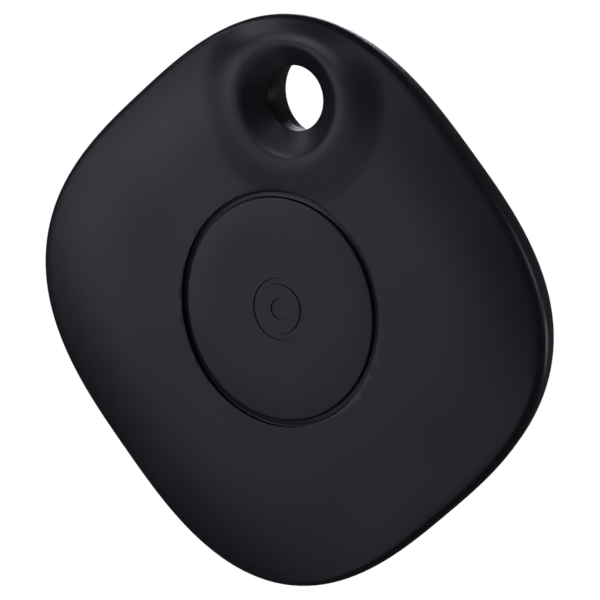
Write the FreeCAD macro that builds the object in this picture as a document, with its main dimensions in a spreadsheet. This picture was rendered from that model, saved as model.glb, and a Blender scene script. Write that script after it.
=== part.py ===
import FreeCAD, Part

import math
import os

import Sketcher

# Keyring tracker tag: a rounded-diamond pebble with a lanyard hole through its top corner, a round
# press button in its front, and a clip-fit rear cover over a coin cell.
#
# Every piece is drawn lying on its back about the middle of the body: x across, y up towards the
# lanyard hole, z = 0 at the seam between the shells and +z out of the front. Each piece's Placement
# then stands it up, so the front faces -Y, the hole is at the top and its axis is the origin.

Vector = FreeCAD.Vector

SIZES = (
    # housing outline
    ("half_span", 19.97, "half the width across two opposite flats, at the widest line"),
    ("outline_power", 2.8636, "squareness of the outline: 2 is an ellipse"),
    ("outline_squash", 0.956, "height of the outline over its width"),
    ("seam_inset", 0.22, "how far the seam lies inside the widest line"),
    # shells
    ("face_height", 2.01, "front face in front of the seam"),
    ("rear_depth", 8.0, "rearmost point behind the seam"),
    ("front_wall", 1.2, "wall of the front shell"),
    ("cover_wall", 1.0, "wall of the rear cover"),
    ("rest_share", 0.33, "flat share of the rear cover's half span"),
    ("rear_power", 1.65, "fullness of the rear cover's dome"),
    # tongue and seal
    ("tongue_depth", 1.4, "front shell's tongue behind the seam"),
    ("tongue_wall", 0.85, "thickness of the tongue"),
    ("tongue_gap", 0.1, "clearance between tongue and cover"),
    ("step_wall", 0.83, "cover wall left outside the tongue, at the seam"),
    ("seal_width", 0.4, "seal across the tongue"),
    ("seal_height", 0.5, "seal along the tongue"),
    ("seal_offset", 0.45, "seal behind the seam"),
    # lanyard hole
    ("hole_rise", 15.2, "hole axis above the middle of the body"),
    ("throat_radius", 2.4, "narrowest part of the hole"),
    ("throat_length", 1.2, "straight part of the hole in the front shell"),
    ("lip_radius", 4.8, "crest of the rolled lip"),
    ("lip_height", 2.4, "crest of the rolled lip in front of the seam"),
    ("lip_spread", 2.0, "lip's fall from its crest to the face"),
    ("tube_wall", 0.85, "wall around the hole"),
    ("rear_throat_radius", 2.82, "hole in the cover at the seam"),
    ("rear_rim_radius", 3.14, "hole in the cover where it starts to flare"),
    ("rear_rim_depth", 2.13, "start of the flare behind the seam"),
    ("flare_angle", 40.0, "half angle of the flare, degrees"),
    # button
    ("button_drop", 0.29, "button axis below the middle of the body"),
    ("groove_outer", 8.75, "round opening for the button in the front shell"),
    ("button_radius", 8.6, "radius of the button cap"),
    ("button_thickness", 1.06, "button cap"),
    ("bevel_width", 0.44, "sloping rim of the cap, which forms the groove round it"),
    ("button_gap", 0.05, "clearance round the cap, inside the web's collar"),
    ("groove_depth", 0.36, "outer edge of the cap's rim below the face"),
    ("collar_drop", 0.12, "web's collar below the edge of the cap's rim"),
    ("web_thickness", 0.3, "flange of the flexible ring"),
    ("web_radius", 10.0, "outer radius of the flexible ring"),
    ("mark_depth", 0.08, "sunk locator mark on the button"),
    ("mark_dot", 0.75, "radius of the mark's dot"),
    ("mark_ring", 2.3, "outer radius of the mark's ring"),
    ("mark_line", 0.5, "line width of the mark's ring"),
    ("plunger_radius", 1.3, "rubber nub behind the button"),
    # circuit board
    ("board_front", -1.0, "front face of the circuit board"),
    ("board_thickness", 0.6, "circuit board"),
    ("board_inset", 3.2, "board edge inside the widest line"),
    ("board_top", 10.6, "straight top edge of the board"),
    ("screw_hole", 0.7, "radius of the board's and tray's screw holes"),
    # switch
    ("switch_side", 5.2, "side of the switch base"),
    ("switch_thickness", 0.35, "switch base"),
    ("dome_radius", 2.1, "radius of the metal dome"),
    ("dome_rise", 0.35, "height of the metal dome"),
    ("dome_wall", 0.08, "thickness of the metal dome"),
    ("dome_gap", 0.03, "free play between plunger and dome"),
    # battery
    ("cell_radius", 10.0, "coin cell"),
    ("cell_height", "=rear_depth - 4.8", "coin cell"),
    ("cell_drop", 1.8, "coin cell's axis below the middle of the body"),
    ("cell_front", -2.4, "front face of the coin cell"),
    ("can_wall", 0.3, "steel can of the cell"),
    ("cap_radius", "=cell_radius - 1.2", "front cap of the cell"),
    ("cap_rise", 0.25, "cap in front of the can's crimped edge"),
    ("grommet_wall", 0.5, "plastic ring between can and cap"),
    # tray
    ("tray_thickness", 0.4, "floor of the battery tray"),
    ("tray_inset", 3.5, "tray edge inside the widest line"),
    ("tray_top", 10.4, "straight top edge of the tray"),
    ("nest_gap", 0.2, "clearance round the coin cell"),
    ("nest_wall", 0.8, "wall round the coin cell"),
    ("nest_height", 1.7, "wall round the coin cell"),
    # screws
    ("screw_across", 15.5, "side screws from the middle"),
    ("screw_side_drop", 1.8, "side screws below the middle"),
    ("screw_low_drop", 16.2, "lower screw below the middle"),
    ("screw_radius", 0.5, "screw shank"),
    ("screw_length", 2.2, "screw shank"),
    ("head_radius", 1.05, "screw head"),
    ("head_height", 0.55, "screw head"),
    ("boss_wall", 0.7, "wall of the screw bosses"),
    ("screw_gap", 0.05, "clearance round the screw shank"),
    # sounder
    ("sounder_drop", 8.8, "sounder below the middle"),
    ("sounder_radius", 5.4, "brass plate"),
    ("ceramic_radius", 3.9, "ceramic disc"),
    ("adhesive_width", 0.8, "adhesive ring"),
    ("adhesive_thickness", 0.25, "adhesive ring"),
    ("plate_thickness", 0.2, "brass plate"),
    ("ceramic_thickness", 0.15, "ceramic disc"),
    # contacts
    ("leaf_thickness", 0.2, "contact spring strip"),
    ("leaf_width", 2.0, "contact spring strip"),
    ("leaf_length", 10.0, "negative contact"),
    ("leaf_gap", 0.05, "negative contact's arch below the cell"),
    ("side_leaf_width", 3.0, "positive contact"),
    ("side_leaf_height", 2.2, "positive contact"),
    ("contact_gap", 0.05, "positive contact beside the can"),
    ("slot_gap", 0.2, "tray openings round the contacts"),
    # pad in the cover
    ("pad_radius", 4.2, "foam pad behind the cell"),
    ("pad_gap", 0.05, "pad behind the cell"),
)

doc = FreeCAD.newDocument("tracker_tag")
sheet = doc.addObject("Spreadsheet::Sheet", "sizes")
for row, (alias, number, note) in enumerate(SIZES, 1):
    sheet.set(f"A{row}", note)
    sheet.set(f"B{row}", str(number))
    sheet.setAlias(f"B{row}", alias)
doc.recompute()


def value(expression):
    """The number that an expression on the sheet gives now."""
    result = sheet.evalExpression(expression)
    return float(getattr(result, "Value", result))


def size(alias):
    return value(f"sizes.{alias}")


# ---- standing pieces up, sketches and turned or flat solids ----

def stand(piece, across="0", up="0"):
    """Stand a piece up: drawn +y becomes up and drawn +z the front, with the hole's axis as origin."""
    piece.Placement = FreeCAD.Placement(Vector(0, 0, 0), FreeCAD.Rotation(Vector(1, 0, 0), 90))
    piece.setExpression(".Placement.Base.x", across)
    piece.setExpression(".Placement.Base.z", f"{up} - sizes.hole_rise")


def new_body(label, across="0", up="0"):
    piece = doc.addObject("PartDesign::Body", label)
    piece.Label = label
    stand(piece, across, up)
    return piece


def sketch_on(piece, role, level="0"):
    """New sketch on one of the body's own origin planes, shifted along its normal."""
    drawing = piece.newObject("Sketcher::SketchObject", "sketch")
    planes = [item for item in piece.Origin.OriginFeatures if item.Role == role]
    drawing.AttachmentSupport = [(planes[0], "")]
    drawing.MapMode = "FlatFace"
    drawing.setExpression(".AttachmentOffset.Base.z", level)
    return drawing


def bind(drawing, kind, expression, *points):
    """Constrain a sketch with a size that follows the sheet."""
    index = drawing.addConstraint(Sketcher.Constraint(kind, *points, value(expression)))
    drawing.setExpression(f"Constraints[{index}]", expression)


def pin_point(drawing, point, across, up):
    """Hold one sketch point at a place from the sketch's origin."""
    for kind, expression, axis in (("DistanceX", across, -2), ("DistanceY", up, -1)):
        if abs(value(expression)) < 1e-9:
            drawing.addConstraint(Sketcher.Constraint("PointOnObject", *point, axis))
        else:
            bind(drawing, kind, expression, -1, 1, *point)


def draw_circle(drawing, radius, across="0", up="0"):
    centre = Vector(value(across), value(up), 0)
    index = drawing.addGeometry(Part.Circle(centre, Vector(0, 0, 1), value(radius)))
    bind(drawing, "Radius", radius, index)
    pin_point(drawing, (index, 3), across, up)


def draw_outline(drawing, corners):
    """Closed straight-sided outline through corners given as (across, up) expressions."""
    places = [Vector(value(across), value(up), 0) for across, up in corners]
    first = drawing.GeometryCount
    for number, place in enumerate(places):
        drawing.addGeometry(Part.LineSegment(place, places[(number + 1) % len(places)]))
    for number, (across, up) in enumerate(corners):
        following = first + (number + 1) % len(corners)
        drawing.addConstraint(Sketcher.Constraint("Coincident", first + number, 2, following, 1))
        pin_point(drawing, (first + number, 1), across, up)


def draw_rectangle(drawing, width, height, across="0", up="0"):
    left, right = f"{across} - {width} / 2", f"{across} + {width} / 2"
    low, high = f"{up} - {height} / 2", f"{up} + {height} / 2"
    draw_outline(drawing, [(left, low), (right, low), (right, high), (left, high)])


def pad(piece, drawing, length):
    feature = piece.newObject("PartDesign::Pad", "pad")
    feature.Profile = drawing
    feature.setExpression("Length", length)
    drawing.Visibility = False
    return feature


def pocket(piece, drawing, depth, towards_front=False):
    """Cut a drawing back into the piece, or forward from its rear."""
    feature = piece.newObject("PartDesign::Pocket", "pocket")
    feature.Profile = drawing
    feature.Reversed = towards_front
    feature.setExpression("Length", depth)
    drawing.Visibility = False
    return feature


def disc(label, radius, bottom, thickness, bore=None, across="0", up="0"):
    """Round plate, or a ring when it has a bore, lying parallel to the front."""
    piece = new_body(label, across, up)
    drawing = sketch_on(piece, "XY_Plane", bottom)
    draw_circle(drawing, radius)
    if bore:
        draw_circle(drawing, bore)
    pad(piece, drawing, thickness)
    return piece


def turned(label, corners, across="0", up="0"):
    """Solid turned about the drawn z axis from (radius, level) corners."""
    piece = new_body(label, across, up)
    drawing = sketch_on(piece, "XZ_Plane")
    draw_outline(drawing, corners)
    feature = piece.newObject("PartDesign::Revolution", "turn")
    feature.Profile = drawing
    feature.ReferenceAxis = (drawing, ["V_Axis"])
    feature.Angle = 360
    drawing.Visibility = False
    return piece


def group(label, solids):
    """Several loose solids of one kind, kept in one node."""
    piece = doc.addObject("Part::Compound", label)
    piece.Label = label
    piece.Links = solids
    stand(piece)
    return piece


def block(name, width, height, thickness, across, up, bottom):
    """Box with its middle at (across, up) and its rear face at a level."""
    piece = doc.addObject("Part::Box", name)
    piece.setExpression("Length", width)
    piece.setExpression("Width", height)
    piece.setExpression("Height", thickness)
    piece.setExpression(".Placement.Base.x", f"{across} - ({width}) / 2")
    piece.setExpression(".Placement.Base.y", f"{up} - ({height}) / 2")
    piece.setExpression(".Placement.Base.z", bottom)
    return piece


def rod(name, radius, length, across, up, bottom):
    piece = doc.addObject("Part::Cylinder", name)
    piece.setExpression("Radius", radius)
    piece.setExpression("Height", length)
    piece.setExpression(".Placement.Base.x", across)
    piece.setExpression(".Placement.Base.y", up)
    piece.setExpression(".Placement.Base.z", bottom)
    return piece


def fused(label, solids):
    piece = doc.addObject("Part::MultiFuse", label)
    piece.Label = label
    piece.Shapes = solids
    stand(piece)
    return piece


def shaped(label, shape):
    """Piece whose curved shape no sketch gives: built above from the sheet's sizes, then stood up."""
    piece = doc.addObject("Part::Feature", label)
    piece.Label = label
    piece.Shape = shape
    stand(piece)
    return piece


# ---- the rounded-diamond outline and what is made from it ----

HALF_SPAN = size("half_span")
OUTLINE_STEPS = 48
DOME_STEPS = 14


def outline(half_span, level):
    """Closed curve |p|^n + |q|^n = 1 turned 45 degrees, so that its corners point up and sideways."""
    power = size("outline_power")
    places = []
    for step in range(OUTLINE_STEPS):
        turn = 2 * math.pi * step / OUTLINE_STEPS
        reach = (abs(math.cos(turn)) ** power + abs(math.sin(turn)) ** power) ** (-1 / power)
        along = half_span * reach * math.cos(turn)
        aside = half_span * reach * math.sin(turn)
        across = (along - aside) / math.sqrt(2)
        up = size("outline_squash") * (along + aside) / math.sqrt(2)
        places.append(Vector(across, up, level))
    curve = Part.BSplineCurve()
    curve.interpolate(Points=places, PeriodicFlag=True)
    return Part.Wire(curve.toShape())


def dome(profile):
    """Solid through outlines along a smooth profile of (inset from the widest line, level)."""
    curve = Part.BSplineCurve()
    curve.interpolate([Vector(inset, 0, level) for inset, level in profile])
    stations = curve.discretize(DOME_STEPS)
    wires = [outline(HALF_SPAN - place.x, place.z) for place in stations]
    return Part.makeLoft(wires, True, True)


def slab(inset, low, high):
    """Flat plate with the body's outline."""
    return Part.Face(outline(HALF_SPAN - inset, low)).extrude(Vector(0, 0, high - low))


def cylinder(radius, low, high, across=0, up=0):
    return Part.makeCylinder(radius, high - low, Vector(across, up, low))


def hole_turned(corners, curve):
    """Solid turned about the lanyard hole: straight corners, a curve, and a flat end at its level."""
    points = [Vector(radius, size("hole_rise"), level) for radius, level in corners]
    bend = Part.BSplineCurve()
    bend.interpolate([points[-1]] + [Vector(r, size("hole_rise"), level) for r, level in curve])
    end_on_axis = Vector(0, size("hole_rise"), bend.EndPoint.z)
    edges = [Part.makeLine(a, b) for a, b in zip(points, points[1:])]
    edges += [bend.toShape(), Part.makeLine(bend.EndPoint, end_on_axis),
              Part.makeLine(end_on_axis, points[0])]
    face = Part.Face(Part.Wire(edges))
    return face.revolve(Vector(0, size("hole_rise"), 0), Vector(0, 0, 1), 360)


ABOVE = 6.0
BELOW = -12.0
SEAM_OVERLAP = 0.5

# Profiles as (inset from the widest line, level as a share of the height named); the first point of
# each is on the seam.
FACE_PROFILE = ((0.04, 0.2), (0.0, 0.3), (0.15, 0.48), (0.45, 0.59), (1.0, 0.68), (2.5, 0.83),
                (4.5, 0.94), (6.5, 0.985), (8.4, 1.0))
LIP_PROFILE = ((0.45, 0.5), (1.1, 0.8), (1.9, 0.96), (2.8, 1.05))
CAVITY_PROFILE = ((2.0, 0.3), (4.5, 0.75), (8.4, 1.0))
# The funnel between throat and lip, as (share of the way out, share of the lip's height).
FUNNEL_PROFILE = ((0.18, 0.58), (0.6, 0.85), (1.0, 1.0))

# Front shell: shallow pillowed face with a rolled lip round the hole, open behind, with a tongue
# that enters the rear cover and three screw bosses.
face_height = size("face_height")
front_wall = size("front_wall")
hole_rise = size("hole_rise")
throat = size("throat_radius")
lip_radius = size("lip_radius")
lip_height = size("lip_height")

seam_inset = size("seam_inset")

front_shape = dome([(seam_inset, 0)] + [(inset, share * face_height) for inset, share in FACE_PROFILE])
lip_limit = dome([(seam_inset, 0)]
                 + [(inset, share * face_height) for inset, share in FACE_PROFILE[1:3]]
                 + [(inset, share * lip_height) for inset, share in LIP_PROFILE])
lip_foot = lip_radius + size("lip_spread")
tube_outer = throat + size("tube_wall")
lip = hole_turned(
    ((0, 0), (tube_outer, 0), (tube_outer, 0.2 * face_height), (lip_foot, 0.5 * face_height),
     (lip_foot, 0.9 * face_height)),
    ((lip_radius + 0.4 * size("lip_spread"), 0.5 * (face_height + lip_height)),
     (lip_radius, lip_height)),
)
tongue_inset = size("step_wall") + size("tongue_gap") + seam_inset
cavity_height = face_height - front_wall
front_cavity = dome([(tongue_inset, -SEAM_OVERLAP), (tongue_inset, 0.05)]
                    + [(inset, share * cavity_height) for inset, share in CAVITY_PROFILE])
hole_tube = cylinder(tube_outer, 0, face_height - 0.5 * front_wall, 0, hole_rise)
funnel = hole_turned(
    ((0, BELOW), (throat, BELOW), (throat, size("throat_length"))),
    [(throat + out * (lip_radius - throat), share * lip_height) for out, share in FUNNEL_PROFILE])
funnel_mouth = cylinder(lip_radius, lip_height, ABOVE, 0, hole_rise)

tongue_end = -size("tongue_depth")
tongue = slab(tongue_inset, tongue_end, SEAM_OVERLAP).cut(
    slab(tongue_inset + size("tongue_wall"), tongue_end, SEAM_OVERLAP))
seal_high = -size("seal_offset")
seal_low = seal_high - size("seal_height")
seal_ring = slab(tongue_inset, seal_low, seal_high).cut(
    slab(tongue_inset + size("seal_width"), seal_low, seal_high))
hole_clear = size("rear_rim_radius") + size("tube_wall") + 3 * size("tongue_gap")
tongue = tongue.cut(seal_ring).cut(cylinder(hole_clear, BELOW, 0, 0, hole_rise))

SCREWS = (
    (size("screw_across"), -size("screw_side_drop")),
    (-size("screw_across"), -size("screw_side_drop")),
    (0, -size("screw_low_drop")),
)
pilot = size("screw_radius") + size("screw_gap")
front_shape = front_shape.fuse(lip.common(lip_limit)).cut(front_cavity)
front_shape = front_shape.fuse([hole_tube, lip.common(lip_limit), tongue])
for across, up in SCREWS:
    front_shape = front_shape.fuse(
        cylinder(pilot + size("boss_wall"), size("board_front"), face_height - front_wall, across, up))
front_shape = front_shape.cut([funnel, funnel_mouth])
for across, up in SCREWS:
    front_shape = front_shape.cut(
        cylinder(pilot, BELOW, size("board_front") + size("screw_length"), across, up))
front_shape = front_shape.cut(cylinder(size("groove_outer"), 0, ABOVE, 0, -size("button_drop")))
shaped("front_shell", front_shape.removeSplitter())

# Rear cover: deep full dome with a flat middle to rest on and the flared rear half of the hole.
REAR_LEVELS = 9


def rear_profile(wall):
    """Insets and levels of the dome, or of its inside when a wall is taken off."""
    half = HALF_SPAN - seam_inset - wall
    depth = size("rear_depth") - wall
    rest = size("rest_share")
    stations = []
    for step in range(REAR_LEVELS):
        turn = 0.5 * math.pi * step / (REAR_LEVELS - 1)
        share = rest + (1 - rest) * abs(math.cos(turn)) ** (2 / size("rear_power"))
        level = -depth * math.sin(turn) ** (2 / size("rear_power"))
        stations.append((HALF_SPAN - half * share, level))
    return stations


rear_outside = dome(rear_profile(0))
rear_inside = dome([(rear_profile(size("cover_wall"))[0][0], SEAM_OVERLAP)]
                   + rear_profile(size("cover_wall")))
step_cut = slab(seam_inset + size("step_wall"), tongue_end - size("tongue_gap"), SEAM_OVERLAP)
rear_throat = size("rear_throat_radius")
rear_rim = size("rear_rim_radius")
rim_level = -size("rear_rim_depth")
flare_run = (rim_level - BELOW) * math.tan(math.radians(size("flare_angle")))
wall = size("tube_wall")


def rear_tube(grow, top):
    """The hole through the cover, or the outside of its wall."""
    corners = [Vector(radius, hole_rise, level) for radius, level in (
        (0, top), (rear_throat + grow, top), (rear_throat + grow, 0), (rear_rim + grow, rim_level),
        (rear_rim + grow + flare_run, BELOW), (0, BELOW), (0, top))]
    face = Part.Face(Part.makePolygon(corners if top > 0 else corners[:1] + corners[2:]))
    return face.revolve(Vector(0, hole_rise, 0), Vector(0, 0, 1), 360)


rear_shape = rear_outside.cut([rear_inside, step_cut])
rear_shape = rear_shape.fuse(rear_tube(wall, 0).common(rear_outside))
rear_shape = rear_shape.cut(rear_tube(0, SEAM_OVERLAP))
shaped("rear_cover", rear_shape.removeSplitter())

shaped("cover_seal", seal_ring)

# Button: round cap with a sloping rim, in a soft web whose thin collar seals the gap round it, with a
# rubber nub behind.
button_up = "-sizes.button_drop"
cap_rear = "sizes.face_height - sizes.button_thickness"
rim_low = "sizes.face_height - sizes.groove_depth"
button_cap = turned("button_cap", [
    ("0", cap_rear), ("sizes.button_radius", cap_rear), ("sizes.button_radius", rim_low),
    ("sizes.button_radius - sizes.bevel_width", "sizes.face_height"), ("0", "sizes.face_height")],
    up=button_up)
mark = sketch_on(button_cap, "XY_Plane", "sizes.face_height")
draw_circle(mark, "sizes.mark_dot")
draw_circle(mark, "sizes.mark_ring")
draw_circle(mark, "sizes.mark_ring - sizes.mark_line")
pocket(button_cap, mark, "sizes.mark_depth")

collar_bore = "sizes.button_radius + sizes.button_gap"
web_front = "sizes.face_height - sizes.front_wall"
web_rear = f"{web_front} - sizes.web_thickness"
collar_front = f"{rim_low} - sizes.collar_drop"
turned("button_flex_ring", [
    (collar_bore, web_rear), ("sizes.web_radius", web_rear), ("sizes.web_radius", web_front),
    ("sizes.groove_outer", web_front), ("sizes.groove_outer", collar_front),
    (collar_bore, collar_front)], up=button_up)

switch_front = "sizes.board_front + sizes.switch_thickness"
plunger_tip = f"{switch_front} + sizes.dome_rise + sizes.dome_gap"
disc("button_plunger", "sizes.plunger_radius", plunger_tip, f"{cap_rear} - ({plunger_tip})",
     up=button_up)

# Tactile switch under the plunger: square base and a thin domed disc.
switch_base = new_body("switch_base", up=button_up)
base_sketch = sketch_on(switch_base, "XY_Plane", "sizes.board_front")
draw_rectangle(base_sketch, "sizes.switch_side", "sizes.switch_side")
pad(switch_base, base_sketch, "sizes.switch_thickness")

dome_top = size("dome_rise")
dome_edge = size("dome_radius")
ball_radius = (dome_edge ** 2 + dome_top ** 2) / (2 * dome_top)
ball_level = size("board_front") + size("switch_thickness") + dome_top - ball_radius
ball_centre = Vector(0, -size("button_drop"), ball_level)
skin = Part.makeSphere(ball_radius, ball_centre).cut(
    Part.makeSphere(ball_radius - size("dome_wall"), ball_centre))
shaped("switch_dome", skin.common(
    cylinder(dome_edge, ball_level + ball_radius - dome_top, ABOVE, 0, -size("button_drop"))))

# Circuit board: outline of the body with a straight edge below the hole, and screw holes.
board_front = size("board_front")
board_rear = board_front - size("board_thickness")
tray_rear = board_rear - size("tray_thickness")


def plate(inset, top, low, high):
    """Inner plate: the body's outline, cut straight below the hole, with the screw holes."""
    reach = 2 * HALF_SPAN
    above = Part.makeBox(2 * reach, reach, high - low, Vector(-reach, top, low))
    drills = [cylinder(size("screw_hole"), low, high, across, up) for across, up in SCREWS]
    return slab(inset, low, high).cut([above] + drills)


shaped("circuit_board", plate(size("board_inset"), size("board_top"), board_rear, board_front))

# Parts soldered to the board's front, as (width, height, thickness, across, up).
RADIO_CHIP = ("5", "5", "0.85", "-9", "3")
CHIP_ANTENNA = ("7", "2", "1.0", "5.5", "9.2")
SOUNDER_DRIVER = ("2.5", "2.5", "0.6", "9.5", "1")
CRYSTALS = (("2.5", "2", "0.55", "-9.5", "-2"), ("1.6", "1", "0.5", "-4.8", "5.5"))
CAPACITOR = ("1", "0.5", "0.5")
CAPACITOR_PLACES = (("-13", "4.5"), ("-13", "1.5"), ("-7.2", "7.2"), ("-10", "7.2"), ("12.6", "1.8"),
                    ("12.6", "-0.2"), ("0.5", "7.2"), ("9.5", "5"))


def soldered(label, boxes):
    """Equal or single parts on the board, kept in one node."""
    return group(label, [block(f"{label}_{number}", *box, "sizes.board_front")
                         for number, box in enumerate(boxes, 1)])


soldered("radio_chip", [RADIO_CHIP])
soldered("chip_antenna", [CHIP_ANTENNA])
soldered("sounder_driver", [SOUNDER_DRIVER])
soldered("crystals", CRYSTALS)
soldered("capacitors", [CAPACITOR + place for place in CAPACITOR_PLACES])

# Sounder: brass plate with a ceramic disc, on an adhesive ring that leaves it free to bend.
sounder_up = "-sizes.sounder_drop"
adhesive_front = "sizes.board_front + sizes.adhesive_thickness"
plate_front = f"{adhesive_front} + sizes.plate_thickness"
disc("piezo_adhesive", "sizes.sounder_radius", "sizes.board_front", "sizes.adhesive_thickness",
     bore="sizes.sounder_radius - sizes.adhesive_width", up=sounder_up)
disc("piezo_plate", "sizes.sounder_radius", adhesive_front, "sizes.plate_thickness", up=sounder_up)
disc("piezo_ceramic", "sizes.ceramic_radius", plate_front, "sizes.ceramic_thickness", up=sounder_up)

# Battery tray: plate behind the board with a round nest for the cell and openings for the contacts.
cell_up = -size("cell_drop")
nest_bore = size("cell_radius") + size("nest_gap")
nest = cylinder(nest_bore + size("nest_wall"), tray_rear - size("nest_height"), tray_rear, 0, cell_up)
nest = nest.cut(cylinder(nest_bore, BELOW, tray_rear, 0, cell_up))
slot_gap = size("slot_gap")
leaf_width = size("leaf_width")
foot_across = 0.5 * size("leaf_length") - 0.5 * leaf_width
side_width = size("side_leaf_width") + 2 * slot_gap
slot_end = -0.5 * nest_bore
side_slot = Part.makeBox(2 * nest_bore, side_width, size("nest_height"),
                         Vector(slot_end - 2 * nest_bore, cell_up - 0.5 * side_width,
                                tray_rear - size("nest_height")))
side_reach = size("cell_radius") + size("contact_gap")
pin_across = side_reach + 2.5 * size("nest_wall")
pin_radius = 2 * size("leaf_thickness")
window = leaf_width + 2 * slot_gap
windows = [Part.makeBox(window, window, size("tray_thickness"),
                        Vector(side * foot_across - 0.5 * window, cell_up - 0.5 * window, tray_rear))
           for side in (-1, 1)]
windows.append(cylinder(pin_radius + 0.5 * slot_gap, tray_rear, board_rear, -pin_across, cell_up))
shaped("inner_frame", plate(size("tray_inset"), size("tray_top"), tray_rear, board_rear)
       .fuse(nest).cut([side_slot] + windows).removeSplitter())

# Three equal screws through tray and board into the front shell's bosses.
tray_rear_cell = "sizes.board_front - sizes.board_thickness - sizes.tray_thickness"
screw_places = (("sizes.screw_across", "-sizes.screw_side_drop"),
                ("-sizes.screw_across", "-sizes.screw_side_drop"), ("0", "-sizes.screw_low_drop"))
screws = []
for number, (across, up) in enumerate(screw_places, 1):
    shank = rod(f"shank_{number}", "sizes.screw_radius", "sizes.screw_length", across, up,
                tray_rear_cell)
    head = rod(f"head_{number}", "sizes.head_radius", "sizes.head_height", across, up,
               f"{tray_rear_cell} - sizes.head_height")
    screw = doc.addObject("Part::MultiFuse", f"screw_{number}")
    screw.Shapes = [shank, head]
    screws.append(screw)
group("frame_screws", screws)

# Coin cell: steel can open to the front, plastic grommet, and the filled cap inside it.
cell_axis = "-sizes.cell_drop"
cell_rear = "sizes.cell_front - sizes.cell_height"
crimp = "sizes.cell_front - sizes.cap_rise"
grommet_outer = "sizes.cell_radius - sizes.can_wall"
core_radius = f"{grommet_outer} - sizes.grommet_wall"
can_floor = f"{cell_rear} + sizes.can_wall"
turned("coin_cell_can", [
    ("0", cell_rear), ("sizes.cell_radius - sizes.can_wall", cell_rear),
    ("sizes.cell_radius", can_floor), ("sizes.cell_radius", crimp),
    (grommet_outer, crimp), (grommet_outer, can_floor), ("0", can_floor)], up=cell_axis)
disc("coin_cell_seal", grommet_outer, can_floor, f"{crimp} - ({can_floor})", bore=core_radius,
     up=cell_axis)
turned("coin_cell_core", [
    ("0", can_floor), (core_radius, can_floor), (core_radius, crimp),
    ("sizes.cap_radius", "sizes.cell_front"), ("0", "sizes.cell_front")], up=cell_axis)

# Contacts: a leaf arched under the cell, and a leaf standing beside the can.
arch_rear = "sizes.cell_front + sizes.leaf_gap"
foot_height = f"sizes.board_front - sizes.board_thickness - ({arch_rear})"
foot_place = "(sizes.leaf_length - sizes.leaf_width) / 2"
fused("negative_contact", [
    block("arch", "sizes.leaf_length", "sizes.leaf_width", "sizes.leaf_thickness", "0", cell_axis,
          arch_rear),
    block("foot_left", "sizes.leaf_thickness", "sizes.leaf_width", foot_height,
          f"-{foot_place}", cell_axis, arch_rear),
    block("foot_right", "sizes.leaf_thickness", "sizes.leaf_width", foot_height, foot_place,
          cell_axis, arch_rear)])
side_face = "sizes.cell_radius + sizes.contact_gap"
side_foot = "2.5 * sizes.nest_wall"
fused("positive_contact", [
    block("side_leaf", "sizes.leaf_thickness", "sizes.side_leaf_width", "sizes.side_leaf_height",
          f"-({side_face}) - sizes.leaf_thickness / 2", cell_axis,
          f"{tray_rear_cell} - sizes.side_leaf_height"),
    block("side_foot", f"{side_foot} + 2 * sizes.leaf_thickness", "sizes.side_leaf_width",
          "sizes.leaf_thickness",
          f"-({side_face}) - ({side_foot} + 2 * sizes.leaf_thickness) / 2", cell_axis,
          f"{tray_rear_cell} - sizes.leaf_thickness"),
    rod("side_pin", "2 * sizes.leaf_thickness", "sizes.tray_thickness + sizes.leaf_thickness",
        f"-({side_face}) - {side_foot}", cell_axis, f"{tray_rear_cell} - sizes.leaf_thickness")])

# Foam pad glued inside the cover, behind the cell.
disc("cell_pad", "sizes.pad_radius", "sizes.cover_wall - sizes.rear_depth",
     f"({cell_rear} - sizes.pad_gap) - (sizes.cover_wall - sizes.rear_depth)", up=cell_axis)

NODES = (
    "front_shell", "rear_cover", "cover_seal", "button_cap", "button_flex_ring", "button_plunger",
    "switch_base", "switch_dome", "circuit_board", "radio_chip", "chip_antenna", "sounder_driver",
    "crystals", "capacitors", "piezo_adhesive", "piezo_plate", "piezo_ceramic", "inner_frame",
    "frame_screws", "coin_cell_can", "coin_cell_seal", "coin_cell_core", "negative_contact",
    "positive_contact", "cell_pad",
)

doc.recompute()
for item in doc.Objects:
    if "Invalid" in item.State or "Error" in item.State:
        raise SystemExit(f"{item.Label} failed: {item.State}")
os.makedirs("parts", exist_ok=True)
for label in NODES:
    shape = doc.getObjectsByLabel(label)[0].Shape
    if shape.isNull() or not shape.isValid() or shape.Volume <= 0:
        raise SystemExit(f"{label} has no valid shape")
    shape.exportStep(f"parts/{label}.step")
    print(f"{label}: {len(shape.Solids)} solid(s), {shape.Volume:.2f} mm3")
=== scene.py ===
import bpy
import functools
import math
from mathutils import Matrix, Vector


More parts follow.
